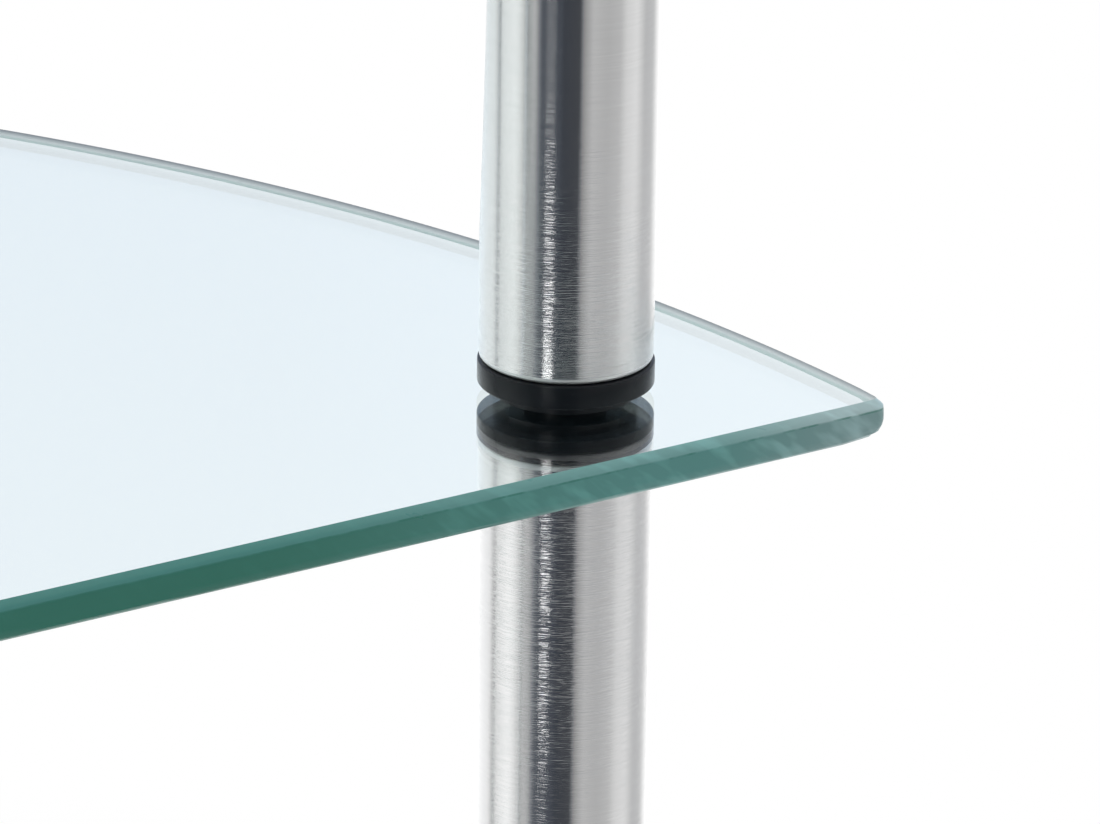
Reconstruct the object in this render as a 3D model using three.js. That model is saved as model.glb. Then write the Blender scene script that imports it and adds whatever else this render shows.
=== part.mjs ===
// A corner etagere: three quarter-round glass shelves on three posts of brushed steel tube.
// Millimetres, +Z up, origin on the floor under the centre of the shelves' square.
// The wall corner is at -X, +Y, and the round front faces +X, -Y.
import * as THREE from "three";

// Shelves
const SHELF_SIDE = 350; // each straight side, and the radius of the round front
const SHELF_TIERS = ["bottom", "middle", "top"];
const GLASS_THICKNESS = 5.8; // 6 mm float glass at its usual true thickness
const GLASS_ARRIS = 1; // ground chamfer along every edge
const GLASS_CORNER_RADIUS = 2;
const GLASS_HOLE_RADIUS = 6;

// Posts
const POST_SIDE_INSET = 28; // post axis to the straight side beside it
const POST_ROUND_INSET = 36.5; // post axis to the round front, for the two posts at its ends
const TUBE_RADIUS = 12.7; // one-inch tube
const TUBE_WALL = 1;
const TUBE_LENGTH = 274; // between two shelves
const LEG_LENGTH = 52; // under the bottom shelf
const PLUG_LENGTH = 15; // threaded plug fixed in each tube end

// Stepped washers over and under each shelf
const WASHER_PROUD = 0.2; // how far the flange stands out past the tube
const WASHER_FLANGE_HEIGHT = 3.6;
const WASHER_STEP = 2.4; // from the flange's rim in to the boss
const WASHER_BOSS_HEIGHT = 1.5;

// Threaded studs that join the tubes through the shelves
const THREAD_RADIUS = 4;
const THREAD_ENGAGEMENT = 10; // how far a stud goes into a plug or a cap

// End caps over the top shelf
const CAP_HEIGHT = 12;
const CAP_DOME = 1.5; // rise of the cap's crown over its rim
const CAP_RIM_CHAMFER = 0.8;

// Levelling feet
const FOOT_PAD_RADIUS = 12;
const FOOT_PAD_HEIGHT = 8;
const FOOT_PAD_CHAMFER = 1.5;
const FOOT_SOCKET_DEPTH = 5; // how far the screw is set in the pad
const FOOT_SCREW_REACH = 20; // how far the screw goes into the leg when the foot is screwed home

// Clearances
const SEAT_GAP = 0.05; // between pieces stacked face to face
const THREAD_GAP = 0.25; // around a stud or screw in its hole
const FOOT_GAP = 0.25; // between a leg and its foot when the foot is screwed home

// Facets
const ROUND_FACETS = 24;
const THREAD_FACETS = 16;
const SHELF_ARC_FACETS = 40;
const CORNER_ARC_FACETS = 4;

const HOLE_RADIUS = THREAD_RADIUS + THREAD_GAP;
const WASHER_FLANGE_RADIUS = TUBE_RADIUS + WASHER_PROUD;
const WASHER_BOSS_RADIUS = WASHER_FLANGE_RADIUS - WASHER_STEP;
const WASHER_HEIGHT = WASHER_FLANGE_HEIGHT + WASHER_BOSS_HEIGHT;

const steel = new THREE.MeshStandardMaterial({ color: 0xb4b4b0, roughness: 0.35, metalness: 1 });
const zincSteel = new THREE.MeshStandardMaterial({ color: 0x9a9c9c, roughness: 0.45, metalness: 1 });
const blackPlastic = new THREE.MeshStandardMaterial({ color: 0x1b1c1f, roughness: 0.5, metalness: 0 });
const glass = new THREE.MeshStandardMaterial({
  color: 0xcfe6e0,
  roughness: 0.05,
  metalness: 0,
  transparent: true,
  opacity: 0.35,
});

// A solid turned about Z from points [radius, height] that run anticlockwise round its half section.
function turned(points, facets) {
  const profile = points.map(([radius, height]) => new THREE.Vector2(radius, height));
  const onAxis = profile[0].x === 0 && profile[profile.length - 1].x === 0;
  if (!onAxis) profile.push(profile[0].clone());
  return new THREE.LatheGeometry(profile, facets).rotateX(Math.PI / 2);
}

function arcPoints(x, y, radius, from, to, facets) {
  return new THREE.EllipseCurve(x, y, radius, radius, from, to).getPoints(facets);
}

// Post axes, as distances along the two walls from the wall corner.
const roundRadius = SHELF_SIDE - POST_ROUND_INSET;
const farPost = Math.sqrt(roundRadius ** 2 - POST_SIDE_INSET ** 2);
const POSTS = [
  { name: "corner", along: POST_SIDE_INSET, out: POST_SIDE_INSET },
  { name: "right", along: farPost, out: POST_SIDE_INSET },
  { name: "front", along: POST_SIDE_INSET, out: farPost },
];

// From distances along the walls to the part's own frame.
function placeX(along) {
  return along - SHELF_SIDE / 2;
}
function placeY(out) {
  return SHELF_SIDE / 2 - out;
}

// Quarter-round outline with its wall corner at 0, 0 and every corner rounded.
function shelfOutline() {
  const fillet = GLASS_CORNER_RADIUS;
  const tip = Math.sqrt((SHELF_SIDE - fillet) ** 2 - fillet ** 2);
  const tipAngle = Math.atan2(fillet, tip);
  const quarter = Math.PI / 2;
  return [
    ...arcPoints(fillet, fillet, fillet, 2 * quarter, 3 * quarter, CORNER_ARC_FACETS),
    ...arcPoints(tip, fillet, fillet, -quarter, tipAngle, CORNER_ARC_FACETS),
    ...arcPoints(0, 0, SHELF_SIDE, tipAngle, quarter - tipAngle, SHELF_ARC_FACETS).slice(1, -1),
    ...arcPoints(fillet, tip, fillet, quarter - tipAngle, 2 * quarter, CORNER_ARC_FACETS),
  ];
}

function glassShelf() {
  const shape = new THREE.Shape(shelfOutline());
  for (const post of POSTS) {
    const ring = arcPoints(post.along, post.out, GLASS_HOLE_RADIUS, 0, 2 * Math.PI, ROUND_FACETS);
    shape.holes.push(new THREE.Path(ring.slice(0, -1)));
  }
  const geometry = new THREE.ExtrudeGeometry(shape, {
    depth: GLASS_THICKNESS - 2 * GLASS_ARRIS,
    bevelThickness: GLASS_ARRIS,
    bevelSize: GLASS_ARRIS,
    bevelOffset: -GLASS_ARRIS,
    bevelSegments: 1,
  });
  // The outline is drawn with its wall corner at the origin and the front towards +Y, so it is
  // turned over about X, which puts the front towards -Y, and moved to the part's frame.
  geometry.rotateX(Math.PI);
  return geometry.translate(placeX(0), placeY(0), GLASS_THICKNESS - GLASS_ARRIS);
}

// A tube with a threaded plug in each end. The plugs' bores open into its hollow.
function plugTube(length) {
  const hollow = TUBE_RADIUS - TUBE_WALL;
  return turned(
    [
      [HOLE_RADIUS, 0],
      [TUBE_RADIUS, 0],
      [TUBE_RADIUS, length],
      [HOLE_RADIUS, length],
      [HOLE_RADIUS, length - PLUG_LENGTH],
      [hollow, length - PLUG_LENGTH],
      [hollow, PLUG_LENGTH],
      [HOLE_RADIUS, PLUG_LENGTH],
    ],
    ROUND_FACETS,
  );
}

// The washer under a shelf: its flange is on the tube below and its boss bears on the glass.
function washerUnder() {
  return turned(
    [
      [HOLE_RADIUS, 0],
      [WASHER_FLANGE_RADIUS, 0],
      [WASHER_FLANGE_RADIUS, WASHER_FLANGE_HEIGHT],
      [WASHER_BOSS_RADIUS, WASHER_FLANGE_HEIGHT],
      [WASHER_BOSS_RADIUS, WASHER_HEIGHT],
      [HOLE_RADIUS, WASHER_HEIGHT],
    ],
    ROUND_FACETS,
  );
}

// The same washer turned over, with its boss on the glass and its flange under the next tube.
function washerOver() {
  return turned(
    [
      [HOLE_RADIUS, 0],
      [WASHER_BOSS_RADIUS, 0],
      [WASHER_BOSS_RADIUS, WASHER_BOSS_HEIGHT],
      [WASHER_FLANGE_RADIUS, WASHER_BOSS_HEIGHT],
      [WASHER_FLANGE_RADIUS, WASHER_HEIGHT],
      [HOLE_RADIUS, WASHER_HEIGHT],
    ],
    ROUND_FACETS,
  );
}

function rod(length) {
  return turned(
    [
      [0, 0],
      [THREAD_RADIUS, 0],
      [THREAD_RADIUS, length],
      [0, length],
    ],
    THREAD_FACETS,
  );
}

// A cap with a low crown and a blind threaded hole for the stud below it.
function endCap() {
  const holeDepth = THREAD_ENGAGEMENT + THREAD_GAP;
  const rim = CAP_HEIGHT - CAP_DOME;
  const shoulder = TUBE_RADIUS - CAP_RIM_CHAMFER;
  return turned(
    [
      [0, holeDepth],
      [HOLE_RADIUS, holeDepth],
      [HOLE_RADIUS, 0],
      [TUBE_RADIUS, 0],
      [TUBE_RADIUS, rim - CAP_RIM_CHAMFER],
      [shoulder, rim],
      [shoulder / 2, CAP_HEIGHT - CAP_DOME / 4],
      [0, CAP_HEIGHT],
    ],
    ROUND_FACETS,
  );
}

function footPad() {
  const face = FOOT_PAD_RADIUS - FOOT_PAD_CHAMFER;
  const socketFloor = FOOT_PAD_HEIGHT - FOOT_SOCKET_DEPTH;
  return turned(
    [
      [0, 0],
      [face, 0],
      [FOOT_PAD_RADIUS, FOOT_PAD_CHAMFER],
      [FOOT_PAD_RADIUS, FOOT_PAD_HEIGHT],
      [HOLE_RADIUS, FOOT_PAD_HEIGHT],
      [HOLE_RADIUS, socketFloor],
      [0, socketFloor],
    ],
    ROUND_FACETS,
  );
}

const etagere = new THREE.Group();

function add(parent, name, geometry, material, height) {
  const mesh = new THREE.Mesh(geometry, material);
  mesh.name = name;
  mesh.position.z = height;
  parent.add(mesh);
}

// Heights of what is stacked on each post, from the floor up.
const legBase = FOOT_PAD_HEIGHT + FOOT_GAP;
const washerRise = WASHER_HEIGHT + SEAT_GAP;
const glassRise = GLASS_THICKNESS + SEAT_GAP;
const jointHeight = 2 * washerRise + glassRise + SEAT_GAP;
const jointBases = SHELF_TIERS.map(
  (tier, i) => legBase + LEG_LENGTH + i * (jointHeight + TUBE_LENGTH),
);

SHELF_TIERS.forEach((tier, i) => {
  const glassBase = jointBases[i] + SEAT_GAP + washerRise;
  add(etagere, `glass_shelf_${tier}`, glassShelf(), glass, glassBase);
});

for (const post of POSTS) {
  const stack = new THREE.Group();
  stack.position.set(placeX(post.along), placeY(post.out), 0);
  etagere.add(stack);

  const socketFloor = FOOT_PAD_HEIGHT - FOOT_SOCKET_DEPTH;
  const screwBase = socketFloor + SEAT_GAP;
  const screwTop = legBase + FOOT_SCREW_REACH;
  add(stack, `foot_pad_${post.name}`, footPad(), blackPlastic, 0);
  add(stack, `foot_screw_${post.name}`, rod(screwTop - screwBase), zincSteel, screwBase);
  add(stack, `leg_${post.name}`, plugTube(LEG_LENGTH), steel, legBase);

  SHELF_TIERS.forEach((tier, i) => {
    const base = jointBases[i];
    const top = base + jointHeight;
    const name = `${tier}_${post.name}`;
    const studLength = jointHeight + 2 * THREAD_ENGAGEMENT;
    const overBase = base + SEAT_GAP + washerRise + glassRise;
    add(stack, `washer_under_${name}`, washerUnder(), blackPlastic, base + SEAT_GAP);
    add(stack, `washer_over_${name}`, washerOver(), blackPlastic, overBase);
    add(stack, `stud_${name}`, rod(studLength), zincSteel, base - THREAD_ENGAGEMENT);
    if (i < SHELF_TIERS.length - 1) {
      const tubeName = i === 0 ? "tube_lower" : "tube_upper";
      add(stack, `${tubeName}_${post.name}`, plugTube(TUBE_LENGTH), steel, top);
    } else {
      add(stack, `end_cap_${post.name}`, endCap(), steel, top);
    }
  });
}

export default etagere;
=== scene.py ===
import math

import bmesh
import bpy
from mathutils import Matrix, Vector, noise


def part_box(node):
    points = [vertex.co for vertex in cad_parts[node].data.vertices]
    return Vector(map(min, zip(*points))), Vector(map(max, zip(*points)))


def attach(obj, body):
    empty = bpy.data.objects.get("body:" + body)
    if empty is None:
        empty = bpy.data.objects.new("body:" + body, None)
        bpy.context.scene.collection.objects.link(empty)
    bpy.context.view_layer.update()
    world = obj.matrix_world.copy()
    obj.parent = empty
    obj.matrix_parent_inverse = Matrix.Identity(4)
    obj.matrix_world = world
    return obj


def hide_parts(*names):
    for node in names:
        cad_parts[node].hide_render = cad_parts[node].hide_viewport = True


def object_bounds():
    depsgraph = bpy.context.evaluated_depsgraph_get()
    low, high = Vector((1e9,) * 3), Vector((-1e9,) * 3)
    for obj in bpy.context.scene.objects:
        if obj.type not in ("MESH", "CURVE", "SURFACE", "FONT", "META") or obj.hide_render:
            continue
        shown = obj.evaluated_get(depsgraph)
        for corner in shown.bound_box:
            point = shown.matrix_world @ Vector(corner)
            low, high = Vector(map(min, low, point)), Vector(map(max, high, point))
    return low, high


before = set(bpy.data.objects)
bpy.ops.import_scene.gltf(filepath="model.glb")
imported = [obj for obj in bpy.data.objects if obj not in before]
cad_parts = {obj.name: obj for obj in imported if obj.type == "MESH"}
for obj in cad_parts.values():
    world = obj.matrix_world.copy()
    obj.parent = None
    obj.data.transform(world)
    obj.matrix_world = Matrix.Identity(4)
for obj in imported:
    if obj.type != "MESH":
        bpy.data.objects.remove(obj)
cad_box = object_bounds()

# Camera. A long lens looks down at the joint of the front post with the middle shelf, from the
# wall side. The joint's axis meets the top of the glass at one named pixel of the 1100 by 824 frame.
FRAME_CENTRE_PX = (550, 412)
JOINT_PX = (565.6, 389.4)
FOCAL_PX = 6140
FRAME_WIDTH_PX = 1100
SENSOR_MM = 36
JOINT_DISTANCE = 0.8906
NEAREST_SEEN = 0.01
LOOK_AZIMUTH = math.radians(236.26)
LOOK_DOWN = math.radians(20.73)
CAMERA_ROLL = math.radians(0.743)

front_tube_low, front_tube_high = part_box("tube_upper_front")
joint = (front_tube_low + front_tube_high) / 2
joint.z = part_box("glass_shelf_middle")[1].z

ahead = Vector((-math.sin(LOOK_AZIMUTH), math.cos(LOOK_AZIMUTH), 0)) * math.cos(LOOK_DOWN)
ahead.z = -math.sin(LOOK_DOWN)
level_right = ahead.cross(Vector((0, 0, 1))).normalized()
level_up = level_right.cross(ahead)
right = level_right * math.cos(CAMERA_ROLL) + level_up * math.sin(CAMERA_ROLL)
up = level_up * math.cos(CAMERA_ROLL) - level_right * math.sin(CAMERA_ROLL)
aside = (JOINT_PX[0] - FRAME_CENTRE_PX[0]) / FOCAL_PX
below = (JOINT_PX[1] - FRAME_CENTRE_PX[1]) / FOCAL_PX
place = joint - (ahead + right * aside - up * below) * JOINT_DISTANCE

lens = bpy.data.cameras.new("camera")
lens.sensor_width = SENSOR_MM
lens.lens = SENSOR_MM * FOCAL_PX / FRAME_WIDTH_PX
lens.clip_start = NEAREST_SEEN
camera = bpy.data.objects.new("camera", lens)
axes = Matrix((right, up, -ahead)).transposed()
camera.matrix_world = Matrix.Translation(place) @ axes.to_4x4()
bpy.context.scene.collection.objects.link(camera)
bpy.context.scene.camera = camera

# Glass shelves. Each is a quarter round of clear tempered float glass, cut and drilled at the three
# posts. Its edge is ground flat all round, with an arris above and below, and it is then toughened.
MM = 0.001
ARC_STEPS = 180
WALL_CUTS = 60
CORNER_STEPS = 12
HOLE_STEPS = 48
GLASS_CORNER = 2 * MM
GLASS_ARRIS = 1 * MM
LOWER_ARRIS = 0.8 * MM
ARRIS_SEGMENTS = 3
ARRIS_PROFILE = 0.32
GLASS_HOLE = 6 * MM
ARRIS_WANDER = 0.14 * MM
WANDER_LENGTH = 7 * MM
DUB_REACH = 6 * MM
DUB_RISE = 0.35 * MM
DUB_INSET = 1.3 * MM
CROWN_INSET = 0.3 * MM
DUB_FALLOFF = 0.7
FACE_SHARE = 0.99
WALL_LOOPS = 4
SAME_LEVEL = MM / 100
CUT_FACE_SLACK = MM / 10
DRILLED_REACH = 1.1 * GLASS_HOLE
EDGE_FADE_START = 2 * MM
EDGE_FADE_MIDDLE = 35 * MM
EDGE_FADE_END = 115 * MM
ARRIS_TONE_START = 1.55 * GLASS_ARRIS
ARRIS_TONE_FULL = 1.1 * GLASS_ARRIS
NICKS_BELOW_TOP = 1.4 * GLASS_ARRIS
NICKS_HALF_HEIGHT = 0.15 * GLASS_ARRIS
# One slanted noise gives the ground edge its grinding marks in roughness and relief, and painted
# glints in its colour.
GLINT_AND_GRINDING_SLANT = math.radians(34)
GLINT_AND_GRINDING_LENGTH = 8 * MM
GLINT_AND_GRINDING_WIDTH = 2 * MM
SHARP_EDGE = 35
POSTS = ("corner", "right", "front")
TIERS = ("bottom", "middle", "top")


def new_material(name):
    material = bpy.data.materials.new(name)
    material.use_nodes = True
    tree = material.node_tree
    return material, tree, tree.nodes["Principled BSDF"], tree.nodes["Material Output"]


def add_node(tree, kind, sockets=None, **settings):
    """Adds a node. A socket given in sockets is linked, and a plain value is set."""
    node = tree.nodes.new(kind)
    for key, value in settings.items():
        setattr(node, key, value)
    set_sockets(tree, node, sockets or {})
    return node


def set_sockets(tree, node, sockets):
    for key, value in sockets.items():
        if isinstance(value, bpy.types.NodeSocket):
            tree.links.new(value, node.inputs[key])
        else:
            node.inputs[key].default_value = value


def new_effect(name, inputs, outputs):
    """A shader node group of number sockets, for an effect that several materials share."""
    tree = bpy.data.node_groups.new(name, "ShaderNodeTree")
    for socket, value in inputs.items():
        made = tree.interface.new_socket(socket, in_out="INPUT", socket_type="NodeSocketFloat")
        made.default_value = value
    for socket in outputs:
        tree.interface.new_socket(socket, in_out="OUTPUT", socket_type="NodeSocketFloat")
    return tree, tree.nodes.new("NodeGroupInput"), tree.nodes.new("NodeGroupOutput")


def finish_piece(name, bm, materials, body, slot, *nodes, sharp=SHARP_EDGE):
    for face in bm.faces:
        face.smooth = True
    for edge in bm.edges:
        if edge.is_manifold and edge.calc_face_angle() > math.radians(sharp):
            edge.smooth = False
        if len({face.material_index for face in edge.link_faces}) > 1:
            edge.smooth = False
    mesh = bpy.data.meshes.new(name)
    bm.to_mesh(mesh)
    bm.free()
    piece = bpy.data.objects.new(name, mesh)
    bpy.context.scene.collection.objects.link(piece)
    for material in materials:
        mesh.materials.append(material)
    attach(piece, body)
    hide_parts(*nodes)


def axis_of(node):
    low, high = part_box(node)
    return Vector(((low.x + high.x) / 2, (low.y + high.y) / 2, 0))


# Fine marks level with the floor: long lines and short dashes.
fine_lines, given, found = new_effect(
    "fine_lines", {"Long": 60, "Short": 260, "Height": 6800}, ("Lines", "Dashes"),
)
spot = add_node(fine_lines, "ShaderNodeTexCoord")
for socket, length, seed in (("Lines", "Long", 0.0), ("Dashes", "Short", 4.0)):
    stretch = add_node(fine_lines, "ShaderNodeCombineXYZ", {
        "X": given.outputs[length], "Y": given.outputs[length], "Z": given.outputs["Height"],
    })
    lines = add_node(fine_lines, "ShaderNodeMapping", {
        "Vector": spot.outputs["Object"], "Location": (seed, seed, seed), "Scale": stretch.outputs[0],
    })
    grain = add_node(fine_lines, "ShaderNodeTexNoise", {
        "Vector": lines.outputs[0], "Scale": 1.0, "Detail": 2.0,
    })
    fine_lines.links.new(grain.outputs["Fac"], found.inputs[socket])

# How far a point lies above the middle of the nearest shelf, or below it.
shelf_boxes = [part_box(f"glass_shelf_{tier}") for tier in TIERS]
lowest_shelf = (shelf_boxes[0][0].z + shelf_boxes[0][1].z) / 2
shelf_spacing = shelf_boxes[1][0].z - shelf_boxes[0][0].z
shelf_level, given, found = new_effect("shelf_level", {}, ("Level",))
spot = add_node(shelf_level, "ShaderNodeTexCoord")
split = add_node(shelf_level, "ShaderNodeSeparateXYZ", {0: spot.outputs["Object"]})
folded = add_node(shelf_level, "ShaderNodeMath", {
    0: split.outputs["Z"], 1: lowest_shelf + shelf_spacing / 2, 2: lowest_shelf - shelf_spacing / 2,
}, operation="WRAP")
above = add_node(shelf_level, "ShaderNodeMath", {
    0: folded.outputs[0], 1: lowest_shelf,
}, operation="SUBTRACT")
shelf_level.links.new(above.outputs[0], found.inputs["Level"])

clear_glass, tree, shader, surface = new_material("clear_float_glass")
set_sockets(tree, shader, {
    "Base Color": (0.955, 0.98, 0.978, 1), "IOR": 1.52, "Transmission Weight": 1.0,
})
spot = add_node(tree, "ShaderNodeTexCoord")
smear = add_node(tree, "ShaderNodeTexNoise", {
    "Vector": spot.outputs["Object"], "Scale": 30.0, "Detail": 4.0,
})
polish = add_node(tree, "ShaderNodeMapRange", {
    "Value": smear.outputs["Fac"], "To Min": 0.0, "To Max": 0.012,
})
tree.links.new(polish.outputs[0], shader.inputs["Roughness"])
path = add_node(tree, "ShaderNodeLightPath")
let_light = add_node(tree, "ShaderNodeBsdfTransparent", {"Color": (0.88, 0.93, 0.92, 1)})
either = add_node(tree, "ShaderNodeMixShader", {
    0: path.outputs["Is Shadow Ray"], 1: shader.outputs[0], 2: let_light.outputs[0],
})
tree.links.new(either.outputs[0], surface.inputs["Surface"])
body_tint = add_node(tree, "ShaderNodeVolumeAbsorption", {
    "Color": (0.20, 0.80, 0.68, 1), "Density": 9.0,
})
tree.links.new(body_tint.outputs[0], surface.inputs["Volume"])

# The two tips of a shelf's round front, and how far its top lies above the middle of the glass.
plate_low, plate_high = shelf_boxes[1]
tips = ((plate_low.x, plate_low.y, 0), (plate_high.x, plate_high.y, 0))
plate_top = (plate_high.z - plate_low.z) / 2


def edge_surface(name, tones, arris_tones_lit, inner):
    """Ground glass, green and solid from outside, and greyer where less glass lies behind it.

    The tones are its colours at a tip, near it and far from it, on the wall and on the upper
    arris; the upper arris tones are lighter, partly for its paler ground finish and partly as
    painted light falling from above. From inside it lets light through, from the first inner
    colour at the top to the last.
    """
    material, tree, shader, surface = new_material(name)
    spot = add_node(tree, "ShaderNodeTexCoord")
    level_spot = add_node(tree, "ShaderNodeVectorMath", {
        0: spot.outputs["Object"], 1: (1, 1, 0),
    }, operation="MULTIPLY")
    ways = [
        add_node(tree, "ShaderNodeVectorMath", {
            0: level_spot.outputs[0], 1: tip,
        }, operation="DISTANCE")
        for tip in tips
    ]
    nearest = add_node(tree, "ShaderNodeMath", {
        0: ways[0].outputs["Value"], 1: ways[1].outputs["Value"],
    }, operation="MINIMUM")
    thin = add_node(tree, "ShaderNodeMapRange", {
        "Value": nearest.outputs[0], "From Min": EDGE_FADE_START, "From Max": EDGE_FADE_MIDDLE,
    }, interpolation_type="SMOOTHSTEP")
    deep = add_node(tree, "ShaderNodeMapRange", {
        "Value": nearest.outputs[0], "From Min": EDGE_FADE_MIDDLE, "From Max": EDGE_FADE_END,
    }, interpolation_type="SMOOTHSTEP")
    greens = []
    for tip_tone, near_tone, far_tone in (tones, arris_tones_lit):
        tip_green = add_node(tree, "ShaderNodeMix", {
            "Factor": thin.outputs[0], "A": tip_tone, "B": near_tone,
        }, data_type="RGBA")
        greens.append(add_node(tree, "ShaderNodeMix", {
            "Factor": deep.outputs[0], "A": tip_green.outputs["Result"], "B": far_tone,
        }, data_type="RGBA"))
    height = add_node(tree, "ShaderNodeGroup", node_tree=shelf_level)
    # Painted light: the upper arris takes the lighter arris tones, partly its paler ground finish and
    # partly light from above painted in.
    on_arris = add_node(tree, "ShaderNodeMapRange", {
        "Value": height.outputs["Level"], "From Min": plate_top - ARRIS_TONE_START,
        "From Max": plate_top - ARRIS_TONE_FULL,
    }, interpolation_type="SMOOTHSTEP")
    body_green = add_node(tree, "ShaderNodeMix", {
        "Factor": on_arris.outputs[0], "A": greens[0].outputs["Result"],
        "B": greens[1].outputs["Result"],
    }, data_type="RGBA")
    # Painted glints: light diagonal streaks, added to the colour near the tips, stand in for
    # reflections inside the edge. The same noise roughens and dents the ground surface.
    slant = add_node(tree, "ShaderNodeMapping", {
        "Vector": spot.outputs["Object"], "Rotation": (GLINT_AND_GRINDING_SLANT, GLINT_AND_GRINDING_SLANT, 0),
        "Scale": (GLINT_AND_GRINDING_LENGTH, GLINT_AND_GRINDING_LENGTH, GLINT_AND_GRINDING_WIDTH),
    }, vector_type="TEXTURE")
    grinding_and_glint = add_node(tree, "ShaderNodeTexNoise", {
        "Vector": slant.outputs[0], "Scale": 1.0, "Detail": 2.0,
    })
    glint_streak = add_node(tree, "ShaderNodeMapRange", {
        "Value": grinding_and_glint.outputs["Fac"], "From Min": 0.48, "From Max": 0.68, "To Max": 0.26,
    })
    glint_fade = add_node(tree, "ShaderNodeMapRange", {
        "Value": deep.outputs[0], "To Min": 1.0, "To Max": 0.1,
    })
    glint_share = add_node(tree, "ShaderNodeMath", {
        0: glint_streak.outputs[0], 1: glint_fade.outputs[0],
    }, operation="MULTIPLY")
    with_painted_glints = add_node(tree, "ShaderNodeMix", {
        "Factor": glint_share.outputs[0], "A": body_green.outputs["Result"],
        "B": greens[1].outputs["Result"],
    }, data_type="RGBA", blend_type="ADD")
    nicks = add_node(tree, "ShaderNodeTexNoise", {
        "Vector": spot.outputs["Object"], "Scale": 380.0, "Detail": 3.0,
    })
    nicked = add_node(tree, "ShaderNodeMapRange", {
        "Value": nicks.outputs["Fac"], "From Min": 0.40, "From Max": 0.58, "To Max": 0.6,
    })
    under_ridge = add_node(tree, "ShaderNodeMath", {
        0: height.outputs["Level"], 1: plate_top - NICKS_BELOW_TOP, 2: NICKS_HALF_HEIGHT,
    }, operation="COMPARE")
    nick_share = add_node(tree, "ShaderNodeMath", {
        0: nicked.outputs[0], 1: under_ridge.outputs[0],
    }, operation="MULTIPLY")
    finished = add_node(tree, "ShaderNodeMix", {
        "Factor": nick_share.outputs[0], "A": with_painted_glints.outputs["Result"], "B": tones[2],
    }, data_type="RGBA")
    rub = add_node(tree, "ShaderNodeMapRange", {
        "Value": grinding_and_glint.outputs["Fac"], "To Min": 0.22, "To Max": 0.42,
    })
    relief = add_node(tree, "ShaderNodeBump", {
        "Height": grinding_and_glint.outputs["Fac"], "Strength": 0.2, "Distance": 0.02 * MM,
    })
    set_sockets(tree, shader, {
        "Base Color": finished.outputs["Result"], "Roughness": rub.outputs[0],
        "Normal": relief.outputs[0], "IOR": 1.52,
    })
    depth = add_node(tree, "ShaderNodeMapRange", {
        "Value": height.outputs["Level"], "From Min": plate_top - GLASS_ARRIS, "From Max": -plate_top,
    })
    inner_tone = add_node(tree, "ShaderNodeMix", {
        "Factor": depth.outputs[0], "A": inner[0], "B": inner[1],
    }, data_type="RGBA")
    inside = add_node(tree, "ShaderNodeBsdfTranslucent", {"Color": inner_tone.outputs["Result"]})
    facing = add_node(tree, "ShaderNodeNewGeometry")
    either = add_node(tree, "ShaderNodeMixShader", {
        0: facing.outputs["Backfacing"], 1: shader.outputs[0], 2: inside.outputs[0],
    })
    tree.links.new(either.outputs[0], surface.inputs["Surface"])
    return material


WALL_TONES = ((0.20, 0.34, 0.335, 1), (0.085, 0.285, 0.26, 1), (0.012, 0.18, 0.125, 1))
# The arris tones are lighter than the wall's, partly for the paler ground finish and partly as
# painted light from above.
ARRIS_TONES_WITH_PAINTED_LIGHT = ((0.45, 0.61, 0.61, 1), (0.18, 0.40, 0.38, 1), (0.06, 0.27, 0.235, 1))
ground_edge = edge_surface(
    "ground_glass_edge", WALL_TONES, ARRIS_TONES_WITH_PAINTED_LIGHT, inner=((0.20, 0.21, 0.19, 1), (1, 1, 1, 1)),
)
# Painted shade: the inside of a drilled hole lets almost no light through. This dark colour stands in
# for the shade of the stud and washers in the hole.
hole_wall_painted_shade = edge_surface(
    "drilled_glass_hole_painted_shade", WALL_TONES, WALL_TONES,
    inner=((0.02, 0.03, 0.03, 1), (0.03, 0.045, 0.045, 1)),
)


def grind_by_hand(bm, low, high):
    """Lets the edge wander a little, and dubs and rounds it at the three corners."""
    corners = [Vector(c) for c in (
        (low.x, high.y, 0), (low.x, low.y, 0), (high.x, high.y, 0),
    )]
    centre = (low + high) / 2
    half = centre.z - low.z
    for v in bm.verts:
        level = (v.co.z - centre.z) / half
        on_face = abs(level) > FACE_SHARE
        if not on_face:
            v.co.z += noise.noise(v.co / WANDER_LENGTH) * ARRIS_WANDER
        near = min((v.co - corner).to_2d().length for corner in corners)
        if near > DUB_REACH:
            continue
        share = (1 - near / DUB_REACH) ** DUB_FALLOFF
        inset = DUB_INSET if level < 0 else CROWN_INSET
        v.co += (centre - v.co).to_2d().normalized().to_3d() * inset * level * level * share
        if not on_face:
            v.co.z -= DUB_RISE * level * abs(level) * share


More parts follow.
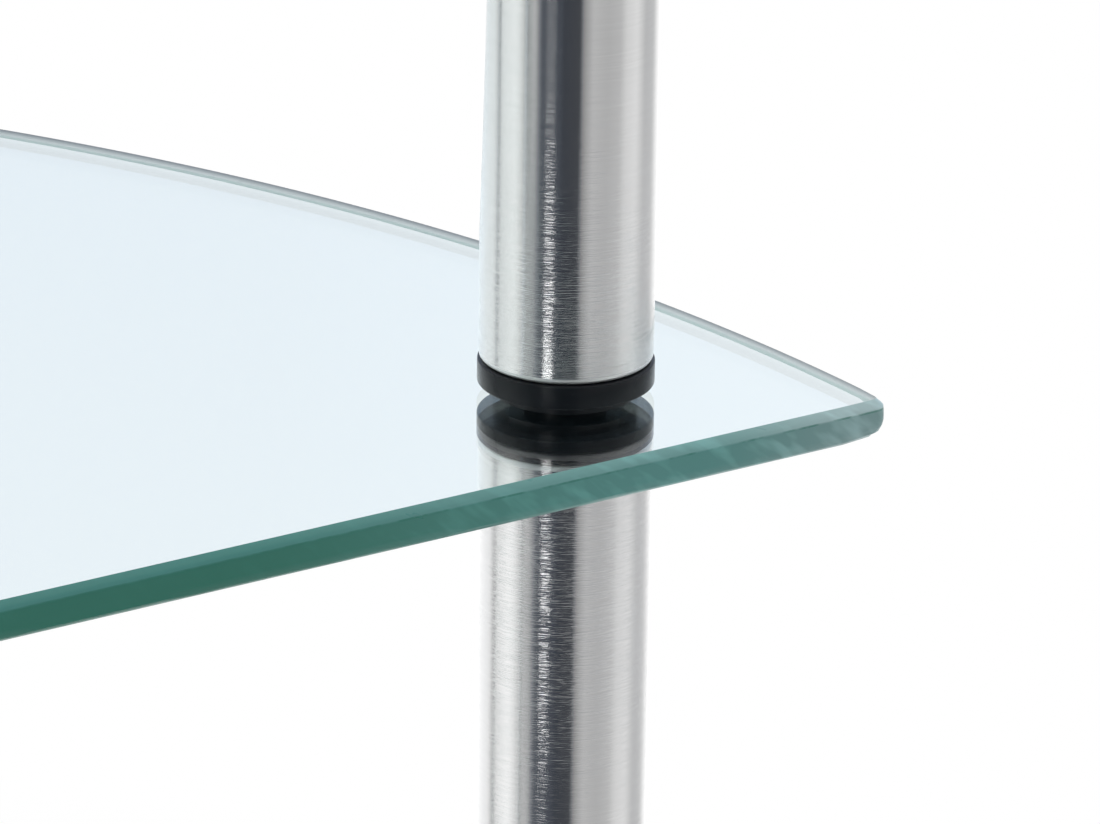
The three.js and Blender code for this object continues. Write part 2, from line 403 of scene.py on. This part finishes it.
def shelf_plate(low, high, holes):
    """A quarter round with its wall corner at low x, high y, drilled at the holes."""
    corner = Vector((low.x, high.y, low.z))
    radius = high.x - low.x
    bm = bmesh.new()
    rim = [bm.verts.new(corner + Vector((radius, 0, 0)))]
    bmesh.ops.spin(bm, geom=rim, cent=corner, axis=(0, 0, -1), angle=math.pi / 2, steps=ARC_STEPS)
    arc = list(bm.verts)
    outline = bm.faces.new([bm.verts.new(corner)] + arc)
    sharp_corners = [outline.verts[0], outline.verts[1], outline.verts[-1]]
    bmesh.ops.bevel(
        bm, geom=sharp_corners, affect="VERTICES", offset=GLASS_CORNER, offset_type="OFFSET",
        segments=CORNER_STEPS, profile=0.5, material=-1,
    )
    walls = [e for e in bm.edges if e.calc_length() > radius / 2]
    bmesh.ops.bisect_edges(bm, edges=walls, cuts=WALL_CUTS)
    raised = bmesh.ops.extrude_face_region(bm, geom=bm.faces[:])
    lifted = [v for v in raised["geom"] if isinstance(v, bmesh.types.BMVert)]
    bmesh.ops.translate(bm, verts=lifted, vec=(0, 0, high.z - low.z))
    bmesh.ops.recalc_face_normals(bm, faces=bm.faces[:])
    for height, arris in ((low.z, LOWER_ARRIS), (high.z, GLASS_ARRIS)):
        edges = [e for e in bm.edges if all(abs(v.co.z - height) < SAME_LEVEL for v in e.verts)]
        bmesh.ops.bevel(
            bm, geom=edges, affect="EDGES", offset=arris, offset_type="OFFSET",
            segments=ARRIS_SEGMENTS, profile=ARRIS_PROFILE, material=-1,
        )
    for i in range(1, WALL_LOOPS + 1):
        height = low.z + GLASS_ARRIS + (high.z - low.z - 2 * GLASS_ARRIS) * i / (WALL_LOOPS + 1)
        bmesh.ops.bisect_plane(
            bm, geom=bm.edges[:] + bm.faces[:], plane_co=(0, 0, height), plane_no=(0, 0, 1),
        )
    grind_by_hand(bm, low, high)
    rings = {}
    for height in (low.z, high.z):
        cap = [
            f for f in bm.faces
            if len(f.verts) > 4 and abs(f.calc_center_median().z - height) < CUT_FACE_SLACK
        ]
        border = list(cap[0].edges)
        bmesh.ops.delete(bm, geom=cap, context="FACES_ONLY")
        for i, hole in enumerate(holes):
            ring = bmesh.ops.create_circle(
                bm, segments=HOLE_STEPS, radius=GLASS_HOLE,
                matrix=Matrix.Translation((hole.x, hole.y, height)),
            )
            ring_edges = list({e for v in ring["verts"] for e in v.link_edges})
            rings.setdefault(i, []).append(ring_edges)
            border += ring_edges
        bmesh.ops.triangle_fill(bm, use_beauty=True, edges=border, normal=(0, 0, 1))
    for pair in rings.values():
        bmesh.ops.bridge_loops(bm, edges=pair[0] + pair[1])
    bmesh.ops.recalc_face_normals(bm, faces=bm.faces[:])
    for face in bm.faces:
        centre = face.calc_center_median()
        flat = min(centre.z - low.z, high.z - centre.z) < SAME_LEVEL
        drilled = min((centre - hole).to_2d().length for hole in holes) < DRILLED_REACH
        face.material_index = 0 if flat else 2 if drilled else 1
    return bm


hole_axes = [axis_of(f"leg_{post}") for post in POSTS]
for tier in TIERS:
    node = f"glass_shelf_{tier}"
    low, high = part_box(node)
    plate = shelf_plate(low, high, hole_axes)
    name = f"{tier}_shelf_glass"
    materials = (clear_glass, ground_edge, hole_wall_painted_shade)
    finish_piece(name, plate, materials, "frame", "clear_glass", node)

# Post tubes and legs. Each is a length of one-inch stainless tube with a threaded plug fixed in
# each end. Its outside is brushed round and round on a belt, and its cut ends are deburred.
TUBE_STEPS = 144
TUBE_EDGE = 1 * MM
TUBE_WALL = 1 * MM
PLUG_LENGTH = 15 * MM
THREAD_HOLE = 4.25 * MM
SUPPORT_LOOP = 0.15 * MM
ROUND_STEPS = 4
COARSE_MIDDLE = -9 * MM
COARSE_START = 27 * MM
COARSE_END = 68 * MM
OPEN_TUBE_SHARE = 0.15
SPIN_WELD = MM / 1000


def steel_surface(name, tones, rubbed, gloss_spread, dash_depth):
    """Brushed stainless steel. Its lines run level, and its gloss is drawn out up and down.

    The belt has left coarser dashes beside the joints than along the open tube, and more of them
    under a shelf than over it.
    """
    material, tree, shader, _ = new_material(name)
    brush = add_node(tree, "ShaderNodeGroup", node_tree=fine_lines)
    height = add_node(tree, "ShaderNodeGroup", node_tree=shelf_level)
    above = add_node(tree, "ShaderNodeMath", {
        0: height.outputs["Level"], 1: COARSE_MIDDLE,
    }, operation="SUBTRACT")
    from_joint = add_node(tree, "ShaderNodeMath", {0: above.outputs[0]}, operation="ABSOLUTE")
    coarse = add_node(tree, "ShaderNodeMapRange", {
        "Value": from_joint.outputs[0], "From Min": COARSE_START, "From Max": COARSE_END,
        "To Min": 1.0, "To Max": OPEN_TUBE_SHARE,
    })
    scratch = add_node(tree, "ShaderNodeMapRange", {
        "Value": brush.outputs["Dashes"], "From Min": 0.45, "From Max": 0.72,
    })
    cut = add_node(tree, "ShaderNodeMath", {
        0: scratch.outputs[0], 1: coarse.outputs[0],
    }, operation="MULTIPLY")
    blotch_spot = add_node(tree, "ShaderNodeTexCoord")
    blotch = add_node(tree, "ShaderNodeTexNoise", {
        "Vector": blotch_spot.outputs["Object"], "Scale": 110.0, "Detail": 3.0,
    })
    mixed = add_node(tree, "ShaderNodeMath", {
        0: blotch.outputs["Fac"], 1: 0.45, 2: brush.outputs["Lines"],
    }, operation="MULTIPLY_ADD")
    tone = add_node(tree, "ShaderNodeMapRange", {
        "Value": mixed.outputs[0], "From Min": 0.4, "From Max": 1.0,
        "To Min": tones[0], "To Max": tones[1],
    })
    grey = add_node(tree, "ShaderNodeCombineColor", {
        channel: tone.outputs[0] for channel in ("Red", "Green", "Blue")
    })
    sheen = add_node(tree, "ShaderNodeMapRange", {
        "Value": brush.outputs["Dashes"], "To Min": rubbed[0], "To Max": rubbed[1],
    })
    relief = add_node(tree, "ShaderNodeBump", {
        "Height": cut.outputs[0], "Strength": 1.0, "Distance": dash_depth,
    })
    around = add_node(tree, "ShaderNodeTangent", direction_type="RADIAL", axis="Z")
    set_sockets(tree, shader, {
        "Base Color": grey.outputs[0], "Metallic": 1.0, "Roughness": sheen.outputs[0],
        "Anisotropic": gloss_spread, "Anisotropic Rotation": 0.25,
        "Normal": relief.outputs[0], "Tangent": around.outputs[0],
    })
    return material


brushed_steel = steel_surface(
    "brushed_stainless", tones=(0.71, 0.75), rubbed=(0.12, 0.18), gloss_spread=1.0,
    dash_depth=0.027 * MM,
)
cap_steel = steel_surface(
    "brushed_end_cap", tones=(0.71, 0.75), rubbed=(0.16, 0.22), gloss_spread=1.0,
    dash_depth=0.003 * MM,
)
deburred_steel = steel_surface(
    "deburred_stainless", tones=(0.74, 0.98), rubbed=(0.34, 0.56), gloss_spread=0.3,
    dash_depth=0.03 * MM,
)


def turned(profile, axis):
    """Spins a closed half section of (radius, height) points about an upright axis."""
    bm = bmesh.new()
    points = [bm.verts.new((axis.x + radius, axis.y, height)) for radius, height in profile]
    edges = [bm.edges.new((points[i - 1], points[i])) for i in range(len(points))]
    bmesh.ops.spin(
        bm, geom=edges, cent=axis, axis=(0, 0, 1), angle=2 * math.pi, steps=TUBE_STEPS,
        use_merge=True,
    )
    bmesh.ops.remove_doubles(bm, verts=bm.verts[:], dist=SPIN_WELD)
    bmesh.ops.recalc_face_normals(bm, faces=bm.faces[:])
    return bm


def quarter_round(radius, height, size, start):
    """Points of a quarter circle about (radius, height), anticlockwise from a start in degrees."""
    turns = [math.radians(start + 90 * i / ROUND_STEPS) for i in range(ROUND_STEPS + 1)]
    return [(radius + size * math.cos(turn), height + size * math.sin(turn)) for turn in turns]


def tube_profile(low, high):
    """Half of a tube in section: its wall, with a drilled plug in each end and rounded rims."""
    radius = (high.x - low.x) / 2
    hollow = radius - TUBE_WALL
    edge = TUBE_EDGE
    return [
        (THREAD_HOLE, low.z),
        *quarter_round(radius - edge, low.z + edge, edge, -90),
        (radius, low.z + edge + SUPPORT_LOOP),
        (radius, high.z - edge - SUPPORT_LOOP),
        *quarter_round(radius - edge, high.z - edge, edge, 0),
        (THREAD_HOLE, high.z),
        (THREAD_HOLE, high.z - PLUG_LENGTH),
        (hollow, high.z - PLUG_LENGTH),
        (hollow, low.z + PLUG_LENGTH),
        (THREAD_HOLE, low.z + PLUG_LENGTH),
    ]


for post in POSTS:
    for part in ("leg", "tube_lower", "tube_upper"):
        node = f"{part}_{post}"
        low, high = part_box(node)
        bm = turned(tube_profile(low, high), axis_of(node))
        for face in bm.faces:
            height = face.calc_center_median().z
            face.material_index = int(min(height - low.z, high.z - height) < TUBE_EDGE)
        name = f"{post}_post_{part}"
        finish_piece(name, bm, (brushed_steel, deburred_steel), "frame", "brushed_steel", node)

# Stepped washers. One black moulded washer lies under each shelf and one over it at every post,
# with its wide flange on the tube and its smaller boss on the glass. The stud clamps them.
FLANGE_HEIGHT = 3.6 * MM
BOSS_RADIUS = 10.5 * MM
FLANGE_EDGE = 0.3 * MM

moulded_grain, given, found = new_effect("moulded_grain", {"Scale": 2600}, ("Grain", "Flow"))
spot = add_node(moulded_grain, "ShaderNodeTexCoord")
grain = add_node(moulded_grain, "ShaderNodeTexNoise", {
    "Vector": spot.outputs["Object"], "Scale": given.outputs["Scale"], "Detail": 2.0,
})
flow = add_node(moulded_grain, "ShaderNodeTexNoise", {
    "Vector": spot.outputs["Object"], "Scale": 90.0, "Detail": 3.0,
})
moulded_grain.links.new(grain.outputs["Fac"], found.inputs["Grain"])
moulded_grain.links.new(flow.outputs["Fac"], found.inputs["Flow"])


def moulded_surface(name, scale, dark, light, rubbed):
    """Black moulded plastic, with the fine grain and the faint flow marks of its mould."""
    material, tree, shader, _ = new_material(name)
    mould = add_node(tree, "ShaderNodeGroup", {"Scale": scale}, node_tree=moulded_grain)
    shade = add_node(tree, "ShaderNodeMix", {
        "Factor": mould.outputs["Flow"], "A": dark, "B": light,
    }, data_type="RGBA")
    satin = add_node(tree, "ShaderNodeMapRange", {
        "Value": mould.outputs["Grain"], "To Min": rubbed[0], "To Max": rubbed[1],
    })
    skin = add_node(tree, "ShaderNodeBump", {
        "Height": mould.outputs["Grain"], "Strength": 0.2, "Distance": 0.02 * MM,
    })
    set_sockets(tree, shader, {
        "Base Color": shade.outputs["Result"], "Roughness": satin.outputs[0],
        "Normal": skin.outputs[0], "Specular IOR Level": 0.2,
    })
    return material


washer_plastic = moulded_surface(
    "washer_black_plastic", scale=2600, dark=(0.008, 0.010, 0.013, 1),
    light=(0.012, 0.014, 0.017, 1), rubbed=(0.20, 0.30),
)


def washer_profile(low, high, boss_up):
    """The flange's rim has rounded edges, and the boss stands on the side of the glass."""
    radius = (high.x - low.x) / 2
    height = high.z - low.z
    edge = FLANGE_EDGE
    flange = [
        (THREAD_HOLE, 0),
        *quarter_round(radius - edge, edge, edge, -90),
        *quarter_round(radius - edge, FLANGE_HEIGHT - edge, edge, 0),
        (BOSS_RADIUS, FLANGE_HEIGHT),
        (BOSS_RADIUS, height),
        (THREAD_HOLE, height),
    ]
    if boss_up:
        return [(reach, low.z + level) for reach, level in flange]
    return [(reach, high.z - level) for reach, level in reversed(flange)]


for post in POSTS:
    for tier in TIERS:
        for side in ("under", "over"):
            node = f"washer_{side}_{tier}_{post}"
            low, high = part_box(node)
            bm = turned(washer_profile(low, high, side == "under"), axis_of(node))
            name = f"{post}_post_{tier}_washer_{side}"
            finish_piece(name, bm, (washer_plastic,), "frame", "washer_plastic", node)

# Studs. Each joins the plugs of two tubes through a glass hole. It is a length of zinc plated
# M8 rod with a rolled thread.
THREAD_PITCH = 1.25 * MM
THREAD_DEPTH = 0.68 * MM
THREAD_STEPS = 24
TOOTH_SHARES = (0, 0.42, 0.58, 1)
THREAD_WELD = MM / 200
SHARP_THREAD_EDGE = 60

zinc_steel, tree, shader, _ = new_material("zinc_plated_steel")
spot = add_node(tree, "ShaderNodeTexCoord")
bloom = add_node(tree, "ShaderNodeTexNoise", {"Vector": spot.outputs["Object"], "Scale": 400.0})
plate_tone = add_node(tree, "ShaderNodeMix", {
    "Factor": bloom.outputs["Fac"], "A": (0.48, 0.50, 0.53, 1), "B": (0.66, 0.67, 0.68, 1),
}, data_type="RGBA")
dull = add_node(tree, "ShaderNodeMapRange", {
    "Value": bloom.outputs["Fac"], "To Min": 0.3, "To Max": 0.5,
})
set_sockets(tree, shader, {
    "Base Color": plate_tone.outputs["Result"], "Metallic": 1.0, "Roughness": dull.outputs[0],
})


def threaded_rod(low, high):
    """A screw surface of one tooth wound up the rod, cut off square at both ends."""
    middle = (low + high) / 2
    crest = (high.x - low.x) / 2
    root = crest - THREAD_DEPTH
    turns = math.ceil((high.z - low.z) / THREAD_PITCH) + 2
    start = low.z - THREAD_PITCH
    bm = bmesh.new()
    tooth = [
        bm.verts.new((middle.x + radius, middle.y, start + share * THREAD_PITCH))
        for radius, share in zip((root, crest, crest, root), TOOTH_SHARES)
    ]
    edges = [bm.edges.new(pair) for pair in zip(tooth, tooth[1:])]
    bmesh.ops.spin(
        bm, geom=edges, cent=(middle.x, middle.y, 0), axis=(0, 0, 1),
        dvec=(0, 0, THREAD_PITCH / THREAD_STEPS), angle=2 * math.pi * turns,
        steps=THREAD_STEPS * turns,
    )
    bmesh.ops.remove_doubles(bm, verts=bm.verts[:], dist=THREAD_WELD)
    for height, way in ((low.z, -1), (high.z, 1)):
        cut = bmesh.ops.bisect_plane(
            bm, geom=bm.verts[:] + bm.edges[:] + bm.faces[:], plane_co=(0, 0, height),
            plane_no=(0, 0, way), clear_outer=True,
        )
        ends = [e for e in cut["geom_cut"] if isinstance(e, bmesh.types.BMEdge)]
        bmesh.ops.triangle_fill(bm, use_beauty=True, edges=ends, normal=(0, 0, way))
    bmesh.ops.recalc_face_normals(bm, faces=bm.faces[:])
    return bm


for post in POSTS:
    for tier in TIERS:
        node = f"stud_{tier}_{post}"
        bm = threaded_rod(*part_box(node))
        name = f"{post}_post_{tier}_stud"
        finish_piece(
            name, bm, (zinc_steel,), "frame", "zinc_steel", node, sharp=SHARP_THREAD_EDGE,
        )

# End caps. Each is a turned stainless cap, screwed down on the top stud, with a rounded rim and
# a low crown. It is brushed round and round, with finer marks than the tubes have.
CAP_DOME = 1.5 * MM
CAP_RIM = 0.8 * MM
CAP_HOLE = 10.25 * MM
CROWN_STEPS = 8

for post in POSTS:
    node = f"end_cap_{post}"
    low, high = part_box(node)
    radius = (high.x - low.x) / 2
    shoulder = radius - CAP_RIM
    rim = high.z - CAP_DOME
    crown = [
        (shoulder * (1 - i / CROWN_STEPS), rim + CAP_DOME * (1 - (1 - i / CROWN_STEPS) ** 2))
        for i in range(1, CROWN_STEPS + 1)
    ]
    profile = [
        (0, low.z + CAP_HOLE),
        (THREAD_HOLE, low.z + CAP_HOLE),
        (THREAD_HOLE, low.z),
        *quarter_round(radius - TUBE_EDGE, low.z + TUBE_EDGE, TUBE_EDGE, -90),
        (radius, low.z + TUBE_EDGE + SUPPORT_LOOP),
        (radius, rim - CAP_RIM - SUPPORT_LOOP),
        *quarter_round(shoulder, rim - CAP_RIM, CAP_RIM, 0),
        *crown,
    ]
    bm = turned(profile, axis_of(node))
    finish_piece(f"{post}_post_end_cap", bm, (cap_steel,), "frame", "brushed_steel", node)

# Levelling feet. Each is a black moulded pad on a zinc plated screw, which is threaded into the
# plug at the bottom of the leg.
PAD_CHAMFER = 1.5 * MM
PAD_SOCKET = 5 * MM
PAD_GROOVE = 0.6 * MM

foot_plastic = moulded_surface(
    "foot_black_plastic", scale=1500, dark=(0.008, 0.008, 0.009, 1),
    light=(0.018, 0.018, 0.020, 1), rubbed=(0.48, 0.66),
)

for post in POSTS:
    node = f"foot_pad_{post}"
    low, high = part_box(node)
    radius = (high.x - low.x) / 2
    middle = (low.z + high.z) / 2
    profile = [
        (0, low.z),
        (radius - PAD_CHAMFER, low.z),
        (radius, low.z + PAD_CHAMFER),
        (radius, middle - PAD_GROOVE),
        (radius - PAD_GROOVE, middle),
        (radius, middle + PAD_GROOVE),
        *quarter_round(radius - PAD_GROOVE, high.z - PAD_GROOVE, PAD_GROOVE, 0),
        (THREAD_HOLE, high.z),
        (THREAD_HOLE, high.z - PAD_SOCKET),
        (0, high.z - PAD_SOCKET),
    ]
    bm = turned(profile, axis_of(node))
    finish_piece(f"{post}_foot_pad", bm, (foot_plastic,), f"foot_{post}", "foot_plastic", node)
    node = f"foot_screw_{post}"
    bm = threaded_rod(*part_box(node))
    name = f"{post}_foot_screw"
    finish_piece(
        name, bm, (zinc_steel,), f"foot_{post}", "zinc_steel", node, sharp=SHARP_THREAD_EDGE,
    )

# Floor. A pale round of floor keeps the etagere's shadow and fades to the white background. What
# gloss mirrors is the room below, not this floor.
FLOOR_RADIUS = 0.62
FLOOR_FADE = 0.30
FLOOR_GAP = 0.2 * MM
FLOOR_STEPS = 96

floor_paint, tree, shader, surface = new_material("pale_floor")
set_sockets(tree, shader, {
    "Base Color": (0.92, 0.92, 0.92, 1), "Roughness": 0.9, "Specular IOR Level": 0.1,
})
bm = bmesh.new()
bmesh.ops.create_circle(
    bm, cap_ends=True, segments=FLOOR_STEPS, radius=FLOOR_RADIUS,
    matrix=Matrix.Translation((0, 0, cad_box[0][2] - FLOOR_GAP)),
)
mesh = bpy.data.meshes.new("floor")
bm.to_mesh(mesh)
bm.free()
floor = bpy.data.objects.new("floor", mesh)
bpy.context.scene.collection.objects.link(floor)
spot = add_node(tree, "ShaderNodeTexCoord")
reach = add_node(tree, "ShaderNodeVectorMath", {0: spot.outputs["Object"]}, operation="LENGTH")
fade = add_node(tree, "ShaderNodeMapRange", {
    "Value": reach.outputs["Value"], "From Min": FLOOR_FADE, "From Max": FLOOR_RADIUS,
}, interpolation_type="SMOOTHSTEP")
white = add_node(tree, "ShaderNodeEmission")
blend = add_node(tree, "ShaderNodeMixShader", {
    0: fade.outputs[0], 1: shader.outputs[0], 2: white.outputs[0],
})
path = add_node(tree, "ShaderNodeLightPath")
mirrored = add_node(tree, "ShaderNodeMath", {
    0: path.outputs["Glossy Depth"], 1: 0.5,
}, operation="GREATER_THAN")
hidden = add_node(tree, "ShaderNodeBsdfTransparent")
shown = add_node(tree, "ShaderNodeMixShader", {
    0: mirrored.outputs[0], 1: blend.outputs[0], 2: hidden.outputs[0],
})
tree.links.new(shown.outputs[0], surface.inputs["Surface"])
mesh.materials.append(floor_paint)

# Studio. A white room with a dark doorway behind the camera and a tall lamp beside it, which the
# round tubes mirror as stripes. The eye, and what is seen through glass, meets plain white.
# A stop is degrees round from the camera, how light the room is there, and how blue.
LOW_STOPS = (
    (-180, 1.4, 0), (-150, 1.35, 0), (-126, 1.12, 0.01), (-112, 1.06, 0), (-107, 0.52, 0),
    (-103, 0.52, 0), (-98, 1.04, 0), (-76, 1.24, 0), (-68, 1.06, 0), (-62, 0.8, 0), (-59, 0.52, 0),
    (-55, 0.66, 0), (-46, 0.6, 0), (-41, 0.27, 0.1), (-37, 0.11, 0.2), (-12, 0.08, 0.25),
    (-8, 0.06, 0.25), (13, 0.07, 0.15), (15, 0.2, 0.1), (18, 0.36, 0), (23, 0.48, 0), (30, 0.63, 0),
    (50, 0.56, 0), (68, 0.61, 0), (78, 0.83, 0), (96, 0.95, 0), (106, 0.78, 0),
    (113, 0.63, 0.01), (134, 0.66, 0.01), (148, 1.05, 0), (180, 1.4, 0),
)
HIGH_STOPS = (
    (-180, 0.74, 0.3), (-177, 0.66, 0.32), (-150, 0.66, 0.3), (-126, 0.9, 0.05), (-70, 0.9, 0),
    (-60, 0.45, 0), (-48, 0.12, 0.2), (-8, 0.03, 0.2), (10, 0.04, 0.2), (20, 0.3, 0.1),
    (40, 0.4, 0.1), (75, 0.8, 0.05), (120, 0.8, 0.1), (150, 0.7, 0.3), (176, 0.82, 0.25),
    (180, 0.74, 0.3),
)
# Heights in the room are sines of the angle above level, and the lamp's angles are in degrees.
HORIZON_LOW = math.sin(math.radians(-8))
HORIZON_HIGH = math.sin(math.radians(12))
TABLE_START = math.sin(math.radians(-55))
TABLE_FULL = math.sin(math.radians(-70))
TABLE_LEVEL = 0.9
CEILING_START = math.sin(math.radians(35))
CEILING_FULL = math.sin(math.radians(60))
LAMP_ANGLE = -24
LAMP_HALF_WIDTH = 6
LAMP_HEIGHT = 0.30
LAMP_HALF_HEIGHT = 0.20
LAMP_LEVEL = 4.5
GLOSS_BOUNCES = 12
ALL_BOUNCES = 24

world = bpy.data.worlds.new("studio")
bpy.context.scene.world = world
world.use_nodes = True
tree = world.node_tree
lit = tree.nodes["Background"]
way = add_node(tree, "ShaderNodeTexCoord")
# The camera's side of the room is turned to -Y, where the angle below is zero.
turn = add_node(tree, "ShaderNodeVectorRotate", {
    "Vector": way.outputs["Generated"], "Angle": -LOOK_AZIMUTH,
}, rotation_type="Z_AXIS")
split = add_node(tree, "ShaderNodeSeparateXYZ", {0: turn.outputs[0]})
back = add_node(tree, "ShaderNodeMath", {0: split.outputs["Y"], 1: -1.0}, operation="MULTIPLY")
angle = add_node(tree, "ShaderNodeMath", {
    0: split.outputs["X"], 1: back.outputs[0],
}, operation="ARCTAN2")
share = add_node(tree, "ShaderNodeMapRange", {
    "Value": angle.outputs[0], "From Min": -math.pi, "From Max": math.pi,
})
ramps = []
for room_stops in (LOW_STOPS, HIGH_STOPS):
    ramp = add_node(tree, "ShaderNodeValToRGB", {0: share.outputs[0]})
    stops = ramp.color_ramp.elements
    for i, (degrees, level, blue) in enumerate(room_stops):
        where = degrees / 360 + 0.5
        stop = stops[i] if i < 2 else stops.new(where)
        stop.position = where
        stop.color = (level * (1 - blue / 2), level, level * (1 + blue), 1)
    ramps.append(ramp.outputs[0])
horizon = add_node(tree, "ShaderNodeMapRange", {
    "Value": split.outputs["Z"], "From Min": HORIZON_LOW, "From Max": HORIZON_HIGH,
}, interpolation_type="SMOOTHSTEP")
underneath = add_node(tree, "ShaderNodeMapRange", {
    "Value": split.outputs["Z"], "From Min": TABLE_START, "From Max": TABLE_FULL,
}, interpolation_type="SMOOTHSTEP")
low_room = add_node(tree, "ShaderNodeMix", {
    "Factor": underneath.outputs[0], "A": ramps[0],
    "B": (TABLE_LEVEL, TABLE_LEVEL, TABLE_LEVEL, 1),
}, data_type="RGBA")
walls = add_node(tree, "ShaderNodeMix", {
    "Factor": horizon.outputs[0], "A": low_room.outputs["Result"], "B": ramps[1],
}, data_type="RGBA")
lamp_side = add_node(tree, "ShaderNodeMath", {
    0: angle.outputs[0], 1: math.radians(LAMP_ANGLE), 2: math.radians(LAMP_HALF_WIDTH),
}, operation="COMPARE")
lamp_rise = add_node(tree, "ShaderNodeMath", {
    0: split.outputs["Z"], 1: LAMP_HEIGHT, 2: LAMP_HALF_HEIGHT,
}, operation="COMPARE")
lamp_mask = add_node(tree, "ShaderNodeMath", {
    0: lamp_side.outputs[0], 1: lamp_rise.outputs[0],
}, operation="MULTIPLY")
with_lamp = add_node(tree, "ShaderNodeMix", {
    "Factor": lamp_mask.outputs[0], "A": walls.outputs["Result"],
    "B": (LAMP_LEVEL, LAMP_LEVEL, LAMP_LEVEL, 1),
}, data_type="RGBA")
overhead = add_node(tree, "ShaderNodeMapRange", {
    "Value": split.outputs["Z"], "From Min": CEILING_START, "From Max": CEILING_FULL,
}, interpolation_type="SMOOTHSTEP")
room = add_node(tree, "ShaderNodeMix", {
    "Factor": overhead.outputs[0], "A": with_lamp.outputs["Result"], "B": (1, 1, 1, 1),
}, data_type="RGBA")
tree.links.new(room.outputs["Result"], lit.inputs["Color"])
plain = add_node(tree, "ShaderNodeBackground", {"Color": (1, 1, 1, 1)})
path = add_node(tree, "ShaderNodeLightPath")
seen = add_node(tree, "ShaderNodeMath", {
    0: path.outputs["Is Camera Ray"], 1: path.outputs["Is Transmission Ray"],
}, operation="MAXIMUM")
unmirrored = add_node(tree, "ShaderNodeMath", {
    0: path.outputs["Glossy Depth"], 1: 0.5,
}, operation="LESS_THAN")
direct = add_node(tree, "ShaderNodeMath", {
    0: seen.outputs[0], 1: unmirrored.outputs[0],
}, operation="MULTIPLY")
choose = add_node(tree, "ShaderNodeMixShader", {
    0: direct.outputs[0], 1: lit.outputs[0], 2: plain.outputs[0],
})
tree.links.new(choose.outputs[0], tree.nodes["World Output"].inputs["Surface"])

scene = bpy.context.scene
scene.view_settings.view_transform = "Standard"
scene.cycles.max_bounces = ALL_BOUNCES
scene.cycles.glossy_bounces = GLOSS_BOUNCES
scene.cycles.transmission_bounces = ALL_BOUNCES
